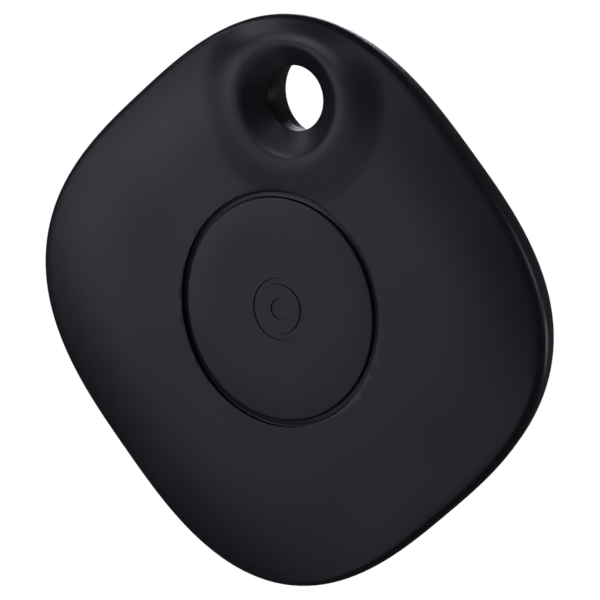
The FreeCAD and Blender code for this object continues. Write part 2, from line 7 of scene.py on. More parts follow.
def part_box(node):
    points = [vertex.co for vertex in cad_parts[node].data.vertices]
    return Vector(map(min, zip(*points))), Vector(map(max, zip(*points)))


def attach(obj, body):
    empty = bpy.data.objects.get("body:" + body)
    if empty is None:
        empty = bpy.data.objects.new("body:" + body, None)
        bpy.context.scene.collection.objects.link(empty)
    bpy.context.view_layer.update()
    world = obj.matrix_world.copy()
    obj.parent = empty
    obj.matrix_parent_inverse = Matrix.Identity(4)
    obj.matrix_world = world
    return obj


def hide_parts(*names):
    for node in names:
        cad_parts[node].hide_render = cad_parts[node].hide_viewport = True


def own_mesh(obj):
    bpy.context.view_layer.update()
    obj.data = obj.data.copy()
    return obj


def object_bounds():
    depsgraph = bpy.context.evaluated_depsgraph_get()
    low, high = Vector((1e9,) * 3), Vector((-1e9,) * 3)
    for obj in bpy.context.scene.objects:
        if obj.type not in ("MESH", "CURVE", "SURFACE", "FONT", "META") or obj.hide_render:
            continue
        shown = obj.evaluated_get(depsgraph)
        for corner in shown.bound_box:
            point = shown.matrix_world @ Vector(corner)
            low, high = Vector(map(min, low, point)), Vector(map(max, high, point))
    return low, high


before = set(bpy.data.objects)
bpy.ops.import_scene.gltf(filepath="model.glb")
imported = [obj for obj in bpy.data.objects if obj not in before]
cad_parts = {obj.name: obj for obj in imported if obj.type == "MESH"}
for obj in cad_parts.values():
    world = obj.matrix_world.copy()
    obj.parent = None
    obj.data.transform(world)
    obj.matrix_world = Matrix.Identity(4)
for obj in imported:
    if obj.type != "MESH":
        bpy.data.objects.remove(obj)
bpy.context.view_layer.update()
MM = 0.001
bpy.ops.object.select_all(action="DESELECT")

# ---- Camera, floor and lights ----
# A long lens looks at the tag from its right front and a little above, as it hangs upright with its
# lanyard hole at the top. The floor and the surroundings are plain and pale, the lights large and soft.
lens_side = math.radians(34.073)
lens_rise = math.radians(12.916)
lens_roll = math.radians(2.737)
lens_place = Vector((237.56, -350.58, 82.0)) * MM

camera_data = bpy.data.cameras.new("camera")
camera_data.lens = 358
camera_data.sensor_width = 36
camera_data.clip_start = 0.01
camera = bpy.data.objects.new("camera", camera_data)
bpy.context.scene.collection.objects.link(camera)
camera.matrix_world = (
    Matrix.Translation(lens_place)
    @ Matrix.Rotation(lens_side, 4, "Z")
    @ Matrix.Rotation(math.radians(90) - lens_rise, 4, "X")
    @ Matrix.Rotation(lens_roll, 4, "Z"))
bpy.context.scene.camera = camera
bpy.context.scene.view_settings.view_transform = "Standard"

tag_low, tag_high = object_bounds()
tag_middle = (Vector(tag_low) + Vector(tag_high)) / 2

SEEN = 1.0
LIT = 0.054
FLOOR_WIDTH = 6
FLOOR_DROP = 0.4


def shader_nodes(owner):
    owner.use_nodes = True
    owner.node_tree.nodes.clear()
    return owner.node_tree.nodes, owner.node_tree.links


def seen_or_lit(owner, output_type):
    """Pale to the eye, but dimmer as a source of light, so that dark plastic keeps its depth."""
    nodes, links = shader_nodes(owner)
    path = nodes.new("ShaderNodeLightPath")
    mix = nodes.new("ShaderNodeMixShader")
    output = nodes.new(output_type)
    for slot, strength in enumerate((LIT, SEEN), 1):
        source = nodes.new("ShaderNodeEmission")
        source.inputs["Strength"].default_value = strength
        links.new(source.outputs[0], mix.inputs[slot])
    links.new(path.outputs["Is Camera Ray"], mix.inputs[0])
    links.new(mix.outputs[0], output.inputs[0])


world = bpy.data.worlds.new("studio")
bpy.context.scene.world = world
seen_or_lit(world, "ShaderNodeOutputWorld")

bpy.ops.mesh.primitive_plane_add(size=FLOOR_WIDTH, location=(0, 0, tag_low[2] - FLOOR_DROP))
floor = bpy.context.active_object
floor.name = "floor"
floor_paint = bpy.data.materials.new("pale_floor")
seen_or_lit(floor_paint, "ShaderNodeOutputMaterial")
floor.data.materials.append(floor_paint)


SOFTBOX_DISTANCE = 420
SOFTBOX_WIDTH = 130
SOFTBOX_TINT = (0.95, 0.98, 1.18)


def soft_light(name, side, rise, power):
    """Square softbox at an azimuth (0 is the tag's front, 90 its right) and elevation."""
    data = bpy.data.lights.new(name, "AREA")
    data.shape = "RECTANGLE"
    data.size = SOFTBOX_WIDTH * MM
    data.size_y = SOFTBOX_WIDTH * MM
    data.energy = power
    data.color = SOFTBOX_TINT
    light = bpy.data.objects.new(name, data)
    bpy.context.scene.collection.objects.link(light)
    turn = Matrix.Rotation(math.radians(side), 4, "Z") @ Matrix.Rotation(math.radians(90 - rise), 4, "X")
    reach = Matrix.Translation((0, 0, SOFTBOX_DISTANCE * MM))
    light.matrix_world = Matrix.Translation(tag_middle) @ turn @ reach


# Side, rise and power of each softbox: eight light the front, two the right edge and one the back.
softboxes = (
    (-40, -5, 0.1), (-20, -25, 0.05), (-30, 25, 0.2), (-55, 0, 0.055), (5, -30, 0.042),
    (-20, -50, 0.035), (-70, 35, 0.12), (0, 50, 0.06), (100, 30, 0.2), (122, -6, 0.3), (-150, 15, 0.15))
for number, (side, rise, power) in enumerate(softboxes, 1):
    soft_light(f"softbox_{number}", side, rise, power)

# ---- Housing outline ----
# Both shells share one moulded outline: a rounded diamond, a little wider than it is tall, whose
# corners point up, down and sideways. Levels are measured forward from the seam between the shells.
HALF_SPAN = 19.97
OUTLINE_POWER = 2.8636
OUTLINE_SQUASH = 0.956
HOLE_RISE = 15.2
SEAM_INSET = 0.22
REST = Vector((0, 0, -HOLE_RISE))


def outline_inset(across, up):
    """How far inside the widest line a point of the body lies, up being measured from its middle."""
    along = (across + up / OUTLINE_SQUASH) / math.sqrt(2)
    aside = (across - up / OUTLINE_SQUASH) / math.sqrt(2)
    reach = (abs(along) ** OUTLINE_POWER + abs(aside) ** OUTLINE_POWER) ** (1 / OUTLINE_POWER)
    return HALF_SPAN - reach


@functools.cache
def outline_from_hole(turn, inset):
    """Distance from the hole's axis to the outline, in the direction of a turn about it."""
    low, high = 0.0, 60.0
    for _ in range(26):
        middle = (low + high) / 2
        across = middle * math.sin(turn)
        up = HOLE_RISE - middle * math.cos(turn)
        if outline_inset(across, up) > inset:
            low = middle
        else:
            high = middle
    return low


def smooth_path(points, steps):
    """Even Catmull-Rom stations along a profile of (x, y) points."""
    padded = [points[0]] + list(points) + [points[-1]]
    stations = []
    spans = len(points) - 1
    for step in range(steps + 1):
        place = min(step / steps * spans, spans - 1e-9)
        span = int(place)
        t = place - span
        a, b, c, d = padded[span:span + 4]
        stations.append(tuple(
            0.5 * (2 * q + (r - p) * t + (2 * p - 5 * q + 4 * r - s) * t * t
                   + (3 * q - p - 3 * r + s) * t ** 3)
            for p, q, r, s in zip(a, b, c, d)))
    return stations


def level_on(stations, distance):
    """Level of a profile at a distance, by straight lines between its stations."""
    if distance <= stations[0][0]:
        return stations[0][1]
    for (x0, y0), (x1, y1) in zip(stations, stations[1:]):
        if distance <= x1:
            return y0 + (y1 - y0) * (distance - x0) / (x1 - x0)
    return stations[-1][1]


def softer_of(first, second, blend):
    """The greater of two levels, with the corner between them rounded over a blend width."""
    gap = max(blend - abs(first - second), 0) / blend
    return max(first, second) + gap * gap * blend / 4


def skin_of_rings(name, segments, rings, place):
    """Skin wrapped from a grid whose rows are rings about the hole; place gives (across, up, level)."""
    bpy.ops.mesh.primitive_grid_add(x_subdivisions=segments, y_subdivisions=rings - 1, size=2)
    skin = bpy.context.active_object
    skin.name = name
    skin.data.name = name
    for vertex in skin.data.vertices:
        column = round((vertex.co.x + 1) / 2 * segments) % segments
        ring = round((vertex.co.y + 1) / 2 * (rings - 1))
        across, up, level = place(2 * math.pi * column / segments, ring)
        vertex.co = (Vector((across, -level, up)) + REST) * MM
    skin.data.update()
    edit_all(skin, lambda: bpy.ops.mesh.remove_doubles(threshold=0.0005 * MM))
    return skin


def edit_all(piece, *steps):
    """Run edit-mode operators on the whole of one piece."""
    bpy.ops.object.select_all(action="DESELECT")
    bpy.context.view_layer.objects.active = piece
    piece.select_set(True)
    bpy.ops.object.mode_set(mode="EDIT")
    bpy.ops.mesh.select_all(action="SELECT")
    for step in steps:
        step()
    bpy.ops.object.mode_set(mode="OBJECT")
    piece.select_set(False)


def add_modifier(piece, kind, **settings):
    """Add one modifier and apply it at once."""
    bpy.ops.object.select_all(action="DESELECT")
    bpy.context.view_layer.objects.active = piece
    piece.select_set(True)
    modifier = piece.modifiers.new(kind.lower(), kind)
    for key, setting in settings.items():
        setattr(modifier, key, setting)
    bpy.ops.object.modifier_apply(modifier=modifier.name)
    piece.select_set(False)


def join(main, *others):
    bpy.ops.object.select_all(action="DESELECT")
    for piece in (main, *others):
        piece.select_set(True)
    bpy.context.view_layer.objects.active = main
    bpy.ops.object.join()
    main.select_set(False)
    return main


def smooth(piece, angle=32):
    bpy.ops.object.select_all(action="DESELECT")
    bpy.context.view_layer.objects.active = piece
    piece.select_set(True)
    bpy.ops.object.shade_smooth_by_angle(angle=math.radians(angle))
    piece.select_set(False)


def face_out(piece, point, towards):
    """Turn an open skin over if its face nearest a point doesn't look along the given direction."""
    nearest = min(piece.data.polygons, key=lambda face: (face.center - point).length)
    if nearest.normal.dot(towards) < 0:
        edit_all(piece, bpy.ops.mesh.flip_normals)


def rod(name, radius, low, high, across, up, segments=48):
    """Round bar along the hole's direction, from one level to another."""
    middle = (Vector((across, -(low + high) / 2, up)) + REST) * MM
    bpy.ops.mesh.primitive_cylinder_add(
        vertices=segments, radius=radius * MM, depth=(high - low) * MM, location=middle,
        rotation=(math.pi / 2, 0, 0))
    bar = bpy.context.active_object
    bar.name = name
    bpy.ops.object.transform_apply(location=True, rotation=True, scale=True)
    return bar


def cut_with(piece, tool):
    add_modifier(piece, "BOOLEAN", operation="DIFFERENCE", solver="EXACT", object=tool)
    bpy.data.objects.remove(tool)


# ---- Front shell ----
# Shallow injection-moulded shell, about 1.2 mm thick: a pillowed face with a rolled lip round the funnelled
# lanyard hole, a round opening for the button, and a tongue that enters the rear cover.
FACE_HEIGHT = 2.01
PILLOW_START = 8.4
PILLOW_DROP = 0.643
PILLOW_POWER = 2.7
RIM_INSET = 0.45
THROAT_RADIUS = 2.4
LIP_RADIUS = 4.8
LIP_HEIGHT = 2.3
SHELL_WALL = 1.15
SHELL_SEGMENTS = 320
SCREW_PLACES = ((15.5, -1.8), (-15.5, -1.8), (0, -16.2))
BOSS_RADIUS = 1.25

front_rim = smooth_path([(RIM_INSET, 1.229), (0.2, 1.05), (0.04, 0.8), (0.0, 0.55), (0.03, 0.3),
                         (0.1, 0.12), (0.26, 0.0)], 14)
funnel_profile = smooth_path([(THROAT_RADIUS, 1.15), (2.85, 1.45), (3.5, 1.86), (4.05, 2.17), (4.4, 2.27),
                              (LIP_RADIUS, LIP_HEIGHT)], 40)
LIP_FOOT = 8.2
lip_ceiling = smooth_path([(0.0, 0.6), (0.15, 1.0), (0.45, 1.34), (1.1, 1.85), (1.9, 2.15), (2.8, 2.35),
                           (4.0, 2.5)], 30)


def pillow_level(inset):
    share = max(PILLOW_START - inset, 0) / (PILLOW_START - 1.0)
    return FACE_HEIGHT - PILLOW_DROP * share ** PILLOW_POWER


def front_level(across, up):
    """Level of the front face, which rises to the lip, and of the funnel inside it."""
    inset = outline_inset(across, up)
    from_hole = math.hypot(across, up - HOLE_RISE)
    ceiling = level_on(lip_ceiling, inset)
    if from_hole < LIP_RADIUS:
        return -softer_of(-level_on(funnel_profile, from_hole), -ceiling, 0.3)
    rise = max(LIP_FOOT - from_hole, 0) / (LIP_FOOT - LIP_RADIUS)
    rise = rise * rise * (3 - 2 * rise)
    crest = -softer_of(-LIP_HEIGHT, -ceiling, 0.3)
    return pillow_level(inset) * (1 - rise) + crest * rise


throat_rings = [(THROAT_RADIUS, 0.0), (THROAT_RADIUS, 0.3), (THROAT_RADIUS, 0.8)]
LIP_RINGS = 26
SPREAD_RINGS = 44
FRONT_RINGS = len(throat_rings) + LIP_RINGS + SPREAD_RINGS + len(front_rim) - 1


def at(turn, radius, level):
    """Point of a skin at a turn and distance from the hole's axis."""
    return radius * math.sin(turn), HOLE_RISE - radius * math.cos(turn), level


def front_place(turn, ring):
    """Rings run from the throat up the funnel, over the lip, out across the face and round the rim."""
    if ring < len(throat_rings):
        return at(turn, *throat_rings[ring])
    ring -= len(throat_rings)
    edge = outline_from_hole(turn, RIM_INSET)
    collar = min(LIP_RADIUS + 0.13, edge - 0.25)
    if ring < LIP_RINGS:
        radius = THROAT_RADIUS + (collar - THROAT_RADIUS) * ring / (LIP_RINGS - 1)
        across, up, _ = at(turn, radius, 0)
        return across, up, front_level(across, up)
    ring -= LIP_RINGS
    if ring < SPREAD_RINGS:
        radius = collar + (edge - collar) * ((ring + 1) / SPREAD_RINGS) ** 1.35
        across, up, _ = at(turn, radius, 0)
        return across, up, front_level(across, up)
    ring -= SPREAD_RINGS
    inset, level = front_rim[ring + 1]
    lift = front_level(*at(turn, edge, 0)[:2]) / front_rim[0][1] - 1
    return at(turn, outline_from_hole(turn, inset), level * (1 + lift * (level / front_rim[0][1]) ** 2))


front_shell = skin_of_rings("front_shell_skin", SHELL_SEGMENTS, FRONT_RINGS, front_place)
face_out(front_shell, (Vector((0, -FACE_HEIGHT, 0)) + REST) * MM, Vector((0, -1, 0)))
add_modifier(front_shell, "SOLIDIFY", thickness=SHELL_WALL * MM, offset=-1, use_even_offset=True)

BUTTON_DROP = 0.29
GROOVE_OUTER = 8.72
cut_with(front_shell, rod("groove_cutter", GROOVE_OUTER, 0.2, 4, 0, -BUTTON_DROP, 256))
add_modifier(front_shell, "BEVEL", width=0.07 * MM, segments=2, limit_method="ANGLE",
             angle_limit=math.radians(50))

TONGUE_OUTER = 1.15
TONGUE_INNER = 2.0
TONGUE_DEPTH = 1.4
tongue_loop = [(TONGUE_OUTER, 0.05), (TONGUE_OUTER, -TONGUE_DEPTH + 0.1),
               (TONGUE_OUTER + 0.1, -TONGUE_DEPTH), (TONGUE_INNER - 0.1, -TONGUE_DEPTH),
               (TONGUE_INNER, -TONGUE_DEPTH + 0.1), (TONGUE_INNER, 0.35), (TONGUE_OUTER, 0.05)]


def tongue_place(turn, ring):
    inset, level = tongue_loop[ring]
    return at(turn, outline_from_hole(turn, inset), level)


tongue = skin_of_rings("tongue", SHELL_SEGMENTS, len(tongue_loop), tongue_place)
edit_all(tongue, lambda: bpy.ops.mesh.normals_make_consistent(inside=False))
cut_with(tongue, rod("hole_clearance", 4.3, -3, -0.001, 0, HOLE_RISE, 96))
bosses = [rod("boss", BOSS_RADIUS, -1.0, 0.7, across, up) for across, up in SCREW_PLACES]
front_shell = join(front_shell, tongue, *bosses)
front_shell.name = "front_shell_skin"
smooth(front_shell)
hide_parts("front_shell")
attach(front_shell, "housing")


def grain_group():
    """Fine mould texture and slow handling variation, from object coordinates in metres."""
    group = bpy.data.node_groups.new("mould_texture", "ShaderNodeTree")
    for name, direction, kind in (("Grain Size", "INPUT", "NodeSocketFloat"),
                                  ("Height", "OUTPUT", "NodeSocketFloat"),
                                  ("Cloud", "OUTPUT", "NodeSocketFloat"),
                                  ("Speckle", "OUTPUT", "NodeSocketFloat")):
        group.interface.new_socket(name=name, in_out=direction, socket_type=kind)
    nodes, links = group.nodes, group.links
    inputs = nodes.new("NodeGroupInput")
    outputs = nodes.new("NodeGroupOutput")
    place = nodes.new("ShaderNodeTexCoord")
    per_metre = nodes.new("ShaderNodeMath")
    per_metre.operation = "DIVIDE"
    per_metre.inputs[0].default_value = 1.0
    links.new(inputs.outputs["Grain Size"], per_metre.inputs[1])
    fine = nodes.new("ShaderNodeTexNoise")
    fine.inputs["Detail"].default_value = 3
    fine.inputs["Roughness"].default_value = 0.65
    links.new(place.outputs["Object"], fine.inputs["Vector"])
    links.new(per_metre.outputs[0], fine.inputs["Scale"])
    pits = nodes.new("ShaderNodeTexVoronoi")
    links.new(place.outputs["Object"], pits.inputs["Vector"])
    links.new(per_metre.outputs[0], pits.inputs["Scale"])
    height = nodes.new("ShaderNodeMath")
    height.operation = "MULTIPLY_ADD"
    height.inputs[1].default_value = 0.5
    links.new(pits.outputs["Distance"], height.inputs[0])
    links.new(fine.outputs["Fac"], height.inputs[2])
    slow = nodes.new("ShaderNodeTexNoise")
    slow.inputs["Scale"].default_value = 140
    slow.inputs["Detail"].default_value = 4
    links.new(place.outputs["Object"], slow.inputs["Vector"])
    links.new(height.outputs[0], outputs.inputs["Height"])
    links.new(slow.outputs["Fac"], outputs.inputs["Cloud"])
    links.new(fine.outputs["Fac"], outputs.inputs["Speckle"])
    return group


MOULD_TEXTURE = grain_group()


def ranged(nodes, links, source, low, high):
    """A factor from 0 to 1, stretched between two values."""
    stretch = nodes.new("ShaderNodeMapRange")
    stretch.inputs["From Min"].default_value = 0.3
    stretch.inputs["From Max"].default_value = 0.7
    stretch.inputs["To Min"].default_value = low
    stretch.inputs["To Max"].default_value = high
    links.new(source, stretch.inputs["Value"])
    return stretch.outputs["Result"]


def two_tone(nodes, links, source, dark, light):
    """Colour between two near shades by a factor."""
    mix = nodes.new("ShaderNodeMix")
    mix.data_type = "RGBA"
    mix.inputs[6].default_value = (*dark, 1)
    mix.inputs[7].default_value = (*light, 1)
    links.new(source, mix.inputs[0])
    return mix.outputs[2]


def principled(material, **sockets):
    nodes, links = shader_nodes(material)
    shader = nodes.new("ShaderNodeBsdfPrincipled")
    output = nodes.new("ShaderNodeOutputMaterial")
    links.new(shader.outputs[0], output.inputs[0])
    for name, setting in sockets.items():
        shader.inputs[name.replace("_", " ")].default_value = setting
    return nodes, links, shader


def bump_from(nodes, links, shader, height, depth_mm, strength=1.0):
    bump = nodes.new("ShaderNodeBump")
    bump.inputs["Strength"].default_value = strength
    bump.inputs["Distance"].default_value = depth_mm * MM
    links.new(height, bump.inputs["Height"])
    links.new(bump.outputs["Normal"], shader.inputs["Normal"])
    return bump


def moulded(name, dark, light, rough_low, rough_high, grain_mm, depth_mm):
    """Textured moulded plastic or rubber."""
    material = bpy.data.materials.new(name)
    nodes, links, shader = principled(material)
    texture = nodes.new("ShaderNodeGroup")
    texture.node_tree = MOULD_TEXTURE
    texture.inputs["Grain Size"].default_value = grain_mm * MM
    links.new(two_tone(nodes, links, texture.outputs["Speckle"], dark, light), shader.inputs["Base Color"])
    links.new(ranged(nodes, links, texture.outputs["Cloud"], rough_low, rough_high),
              shader.inputs["Roughness"])
    bump_from(nodes, links, shader, texture.outputs["Height"], depth_mm)
    return material


def finish_with(material, *pieces):
    for piece in pieces:
        piece.data.materials.clear()
        piece.data.materials.append(material)


# Charcoal plastic with the fine spark-eroded texture of the mould, which softens its highlights.
CHARCOAL = (0.0068, 0.007, 0.0105)
CHARCOAL_LIGHT = (0.0092, 0.0095, 0.0135)
housing_finish = moulded("housing_plastic", CHARCOAL, CHARCOAL_LIGHT, 0.36, 0.41, 0.16, 0.004)
finish_with(housing_finish, front_shell)

# ---- Rear cover ----
# Deep clip-fit shell of the same charcoal plastic, 0.9 mm thick, with a full dome, a flat middle and
# the flared rear half of the hole. It pushes over the front shell's tongue and pulls straight off.
REAR_DEPTH = 8.0
REST_SHARE = 0.33
REAR_POWER = 1.65
REAR_HALF = HALF_SPAN - SEAM_INSET
REAR_THROAT = 2.82
REAR_RIM = 3.14
REAR_RIM_DEPTH = 2.13
FLARE = math.tan(math.radians(40))
COVER_RIM_INSET = SEAM_INSET + 0.045 * REAR_HALF


def rear_dome(inset):
    """Level of the dome at an inset from the widest line."""
    share = min(max((HALF_SPAN - inset) / REAR_HALF, REST_SHARE), 1)
    turn = math.acos(((share - REST_SHARE) / (1 - REST_SHARE)) ** (REAR_POWER / 2))
    return -REAR_DEPTH * math.sin(turn) ** (2 / REAR_POWER)


def rear_level(across, up):
    from_hole = math.hypot(across, up - HOLE_RISE)
    flare = -REAR_RIM_DEPTH - max(from_hole - REAR_RIM, 0) / FLARE
    return softer_of(rear_dome(outline_inset(across, up)), flare, 0.7)


THROAT_RINGS = 7
FLARE_RINGS = 25
FLARE_REACH = 5.4
REAR_SPREAD = 44
EDGE_RINGS = 14
REAR_RINGS = THROAT_RINGS + FLARE_RINGS + REAR_SPREAD + EDGE_RINGS


def throat_at(depth):
    return REAR_THROAT + (REAR_RIM - REAR_THROAT) * depth / REAR_RIM_DEPTH


@functools.cache
def rear_stations(turn):
    """Depth of the hole's rim, and where the flare and the rounded edge begin, in one direction."""
    low, high = 0.2, REAR_RIM_DEPTH
    for _ in range(20):
        middle = (low + high) / 2
        across, up, _ = at(turn, throat_at(middle), 0)
        if -rear_dome(outline_inset(across, up)) > middle:
            low = middle
        else:
            high = middle
    rim = throat_at(low)
    edge = max(outline_from_hole(turn, COVER_RIM_INSET),
               rim + 0.35 * (outline_from_hole(turn, SEAM_INSET) - rim))
    return low, rim, min(FLARE_REACH, rim + 0.6 * (edge - rim)), edge


def rear_place(turn, ring):
    """Rings run from the seam down the hole, over the flare's rim, across the dome and to the seam."""
    depth, rim, flare_end, edge = rear_stations(turn)
    if ring < THROAT_RINGS:
        depth *= ring / (THROAT_RINGS - 1)
        return at(turn, throat_at(depth), -max(depth, 0.02))
    ring -= THROAT_RINGS
    if ring < FLARE_RINGS + REAR_SPREAD:
        if ring < FLARE_RINGS:
            radius = rim + (flare_end - rim) * (ring + 1) / FLARE_RINGS
        else:
            radius = flare_end + (edge - flare_end) * ((ring - FLARE_RINGS + 1) / REAR_SPREAD) ** 1.3
        across, up, _ = at(turn, radius, 0)
        return across, up, rear_level(across, up)
    ring -= FLARE_RINGS + REAR_SPREAD
    start = outline_inset(*at(turn, edge, 0)[:2])
    bend = math.acos((((HALF_SPAN - start) / REAR_HALF - REST_SHARE) / (1 - REST_SHARE))
                     ** (REAR_POWER / 2))
    bend *= 1 - (ring + 1) / EDGE_RINGS
    share = REST_SHARE + (1 - REST_SHARE) * math.cos(bend) ** (2 / REAR_POWER)
    level = -REAR_DEPTH * math.sin(bend) ** (2 / REAR_POWER)
    return at(turn, outline_from_hole(turn, HALF_SPAN - REAR_HALF * share), min(level, -0.02))


COVER_WALL = 0.9
rear_cover = skin_of_rings("rear_cover_skin", SHELL_SEGMENTS, REAR_RINGS, rear_place)
face_out(rear_cover, (Vector((0, REAR_DEPTH, 0)) + REST) * MM, Vector((0, 1, 0)))
add_modifier(rear_cover, "SOLIDIFY", thickness=COVER_WALL * MM, offset=-1)
add_modifier(rear_cover, "BEVEL", width=0.06 * MM, segments=2, limit_method="ANGLE",
             angle_limit=math.radians(50))
smooth(rear_cover)
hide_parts("rear_cover")
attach(rear_cover, "cover")
finish_with(housing_finish, rear_cover)

# ---- Button ----
# Round pad of the same plastic with a sloping rim, which forms the groove round it, and a sunk
# ring-and-dot locator mark. A soft black rubber web behind it carries the pad and seals the gap,
# and a rubber plunger on its back presses the switch.


def spun(name, profile, up=-BUTTON_DROP, steps=192):
    """Piece turned from (radius, level) points about a front-to-back axis, by a spin of the line."""
    bpy.ops.mesh.primitive_plane_add(size=1, location=(0, 0, 0))
    piece = bpy.context.active_object
    piece.name = name
    bpy.ops.object.mode_set(mode="EDIT")
    bpy.ops.mesh.delete(type="VERT")
    bpy.ops.object.mode_set(mode="OBJECT")
    axis = (REST + Vector((0, 0, up))) * MM
    points = [Vector((radius, -level, 0)) * MM + axis for radius, level in profile]
    lines = [(index, index + 1) for index in range(len(points) - 1)]
    piece.data.from_pydata([tuple(point) for point in points], lines, [])
    edit_all(piece, lambda: bpy.ops.mesh.spin(
        steps=steps, angle=2 * math.pi, center=axis, axis=(0, 1, 0)),
        lambda: bpy.ops.mesh.remove_doubles(threshold=0.001 * MM),
        lambda: bpy.ops.mesh.normals_make_consistent(inside=False))
    return piece


BUTTON_RADIUS = 8.6
BUTTON_REAR = 0.95
MARK_DEPTH = 0.09
MARK_SLOPE = 0.05


def sunk(inner, outer):
    """Profile points of a shallow channel in the face."""
    low = FACE_HEIGHT - MARK_DEPTH
    points = [] if inner == 0 else [(inner, FACE_HEIGHT), (inner + MARK_SLOPE, low)]
    return points + [(outer - MARK_SLOPE, low), (outer, FACE_HEIGHT)]


BEVEL_LOW = FACE_HEIGHT - 0.34
button_cap = spun("button_cap_skin", [
    (0, BUTTON_REAR), (BUTTON_RADIUS - 0.1, BUTTON_REAR), (BUTTON_RADIUS, BUTTON_REAR + 0.1),
    (BUTTON_RADIUS, BEVEL_LOW - 0.04), (BUTTON_RADIUS - 0.03, BEVEL_LOW), (8.34, BEVEL_LOW + 0.04),
    (8.27, BEVEL_LOW + 0.07), (8.24, BEVEL_LOW + 0.12), (8.19, FACE_HEIGHT - 0.09),
    (8.16, FACE_HEIGHT - 0.035), (8.11, FACE_HEIGHT - 0.008), (8.05, FACE_HEIGHT), (6, FACE_HEIGHT),
    (4, FACE_HEIGHT)] + sunk(1.8, 2.3)[::-1]
    + sunk(0, 0.75)[::-1] + [(0, FACE_HEIGHT - MARK_DEPTH)])
smooth(button_cap, 28)
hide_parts("button_cap")
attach(button_cap, "button")
finish_with(moulded("button_plastic", CHARCOAL, CHARCOAL_LIGHT, 0.37, 0.42, 0.16, 0.004), button_cap)

COLLAR_FRONT = BEVEL_LOW - 0.04
COLLAR_BORE = BUTTON_RADIUS + 0.04
button_web = spun("button_flex_ring_skin", [
    (COLLAR_BORE, 0.51), (10.0, 0.51), (10.0, 0.8), (GROOVE_OUTER - 0.01, 0.8),
    (GROOVE_OUTER - 0.01, COLLAR_FRONT - 0.02), (8.7, COLLAR_FRONT), (COLLAR_BORE, COLLAR_FRONT - 0.02),
    (COLLAR_BORE, 0.51)])
smooth(button_web, 50)
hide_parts("button_flex_ring")
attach(button_web, "housing")


def cad(node):
    """Blender object carried over from a CAD node."""
    return bpy.data.objects[node]


# Black rubber of the web and plunger, its colour lifted a little above the housing's: painted light that
# makes up for the shade falling in the groove's recess.
web_finish_with_painted_light = moulded("web_rubber", (0.009, 0.009, 0.013), (0.013, 0.013, 0.018), 0.38, 0.44, 0.3, 0.002)
finish_with(web_finish_with_painted_light, button_web, cad("button_plunger"))

# ---- Switch dome ----
# Thin dome of springy stainless steel, pressed from sheet and held by its rim on the switch base.
# It flattens under the plunger when the button is pressed.
DOME_WALL = 0.08
DOME_STEPS = 16
dome_low, dome_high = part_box("switch_dome")
dome_radius = (dome_high[0] - dome_low[0]) / 2 / MM
dome_base, dome_top = -dome_high[1] / MM, -dome_low[1] / MM
dome_rise = dome_top - dome_base
ball_radius = (dome_radius ** 2 + dome_rise ** 2) / (2 * dome_rise)
rim_bore = math.sqrt((ball_radius - DOME_WALL) ** 2 - (ball_radius - dome_rise) ** 2)


def dome_line(rim, radius):
    """Points of one face of the dome, from the middle to its rim."""
    return [(rim * step / DOME_STEPS, dome_base + dome_rise - ball_radius
             + math.sqrt(radius ** 2 - (rim * step / DOME_STEPS) ** 2)) for step in range(DOME_STEPS + 1)]


switch_dome = spun("switch_dome_skin", dome_line(dome_radius, ball_radius)
                   + dome_line(rim_bore, ball_radius - DOME_WALL)[::-1], steps=96)
smooth(switch_dome, 40)
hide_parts("switch_dome")
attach(switch_dome, "housing")
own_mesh(switch_dome)


def object_axes(nodes, links):
    """Object coordinates in metres, whole and split."""
    place = nodes.new("ShaderNodeTexCoord")
    split = nodes.new("ShaderNodeSeparateXYZ")
    links.new(place.outputs["Object"], split.inputs[0])
    return place.outputs["Object"], split.outputs


def noise(nodes, links, vector, scale, detail=3.0):
    texture = nodes.new("ShaderNodeTexNoise")
    texture.inputs["Scale"].default_value = scale
    texture.inputs["Detail"].default_value = detail
    links.new(vector, texture.inputs["Vector"])
    return texture.outputs["Fac"]


def calculate(nodes, links, operation, *values):
    """One maths node fed with sockets or numbers."""
    node = nodes.new("ShaderNodeMath")
    node.operation = operation
    for slot, value in enumerate(values):
        if isinstance(value, (int, float)):
            node.inputs[slot].default_value = value
        else:
            links.new(value, node.inputs[slot])
    return node.outputs[0]


def metal_material(name, dark, light, rough_low, rough_high, brush=(300, 9000, 300), depth_mm=0.004):
    """Metal with a drawn or brushed grain along one way and faint smears."""
    material = bpy.data.materials.new(name)
    nodes, links, shader = principled(material, Metallic=1.0)
    vector, _ = object_axes(nodes, links)
    stretch = nodes.new("ShaderNodeMapping")
    stretch.inputs["Scale"].default_value = brush
    links.new(vector, stretch.inputs["Vector"])
    grain = noise(nodes, links, stretch.outputs[0], 1.0, 5)
    smear = noise(nodes, links, vector, 320, 3)
    links.new(two_tone(nodes, links, smear, dark, light), shader.inputs["Base Color"])
    blend = calculate(nodes, links, "MULTIPLY_ADD", grain, 0.5,
                      calculate(nodes, links, "MULTIPLY", smear, 0.5))
    links.new(ranged(nodes, links, blend, rough_low, rough_high), shader.inputs["Roughness"])
    bump_from(nodes, links, shader, grain, depth_mm)
    return material


steel_finish = metal_material("steel_bright", (0.5, 0.5, 0.49), (0.66, 0.66, 0.65), 0.2, 0.38,
                              (9000, 300, 500))
finish_with(steel_finish, switch_dome)

# ---- Circuit board and soldered parts ----
# Green glass-epoxy board with copper tracks and gold-plated vias under its solder mask, screwed behind
# the button. Soldered to it are matt black epoxy packages, ceramic parts and tinned crystal cans.


